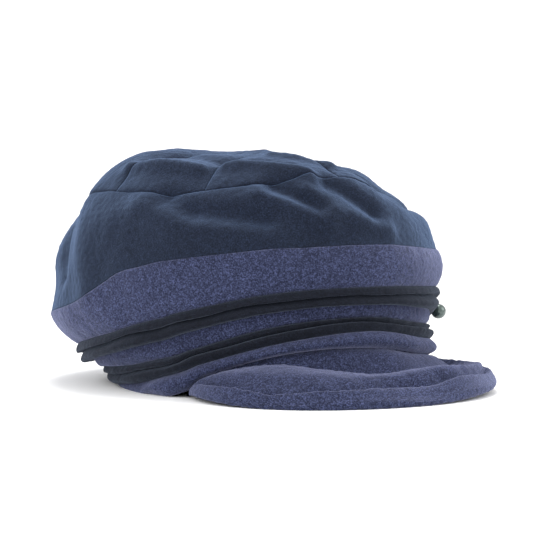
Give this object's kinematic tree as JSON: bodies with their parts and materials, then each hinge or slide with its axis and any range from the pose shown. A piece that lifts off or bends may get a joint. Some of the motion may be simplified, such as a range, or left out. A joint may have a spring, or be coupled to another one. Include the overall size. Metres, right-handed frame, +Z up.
{
  "type": "peaked fleece cap",
  "caption": "Soft puffy fleece cap with a wedge-panelled crown, contrast bands between folded strips, a padded crescent peak and a sewn-on bead.",
  "frame": {"origin": "middle of the cap's footprint, on the surface that it lies on", "axes": "+Z up; the front and the peak point to -Y, the wearer's right is towards -X; +Y runs to the back of the crown"},
  "size_m": [0.2518, 0.31, 0.1499],
  "materials": {
    "navy_fleece": "brushed pile fleece, matt",
    "heather_fleece": "brushed pile fleece with light and dark flecks, matt",
    "pearl": "grey-green pearl lustre"
  },
  "bodies": {
    "root": {"top_wedge_1": "navy_fleece", "top_wedge_2": "navy_fleece", "top_wedge_3": "navy_fleece", "top_wedge_4": "navy_fleece", "top_wedge_5": "navy_fleece", "top_wedge_6": "navy_fleece", "top_wedge_7": "navy_fleece", "top_wedge_8": "navy_fleece", "crown_side": "navy_fleece", "upper_band": "heather_fleece", "upper_fold": "navy_fleece", "middle_band": "heather_fleece", "lower_fold": "navy_fleece", "lower_band": "heather_fleece", "peak": "heather_fleece", "bead": "pearl"}
  },
  "joints": []
}
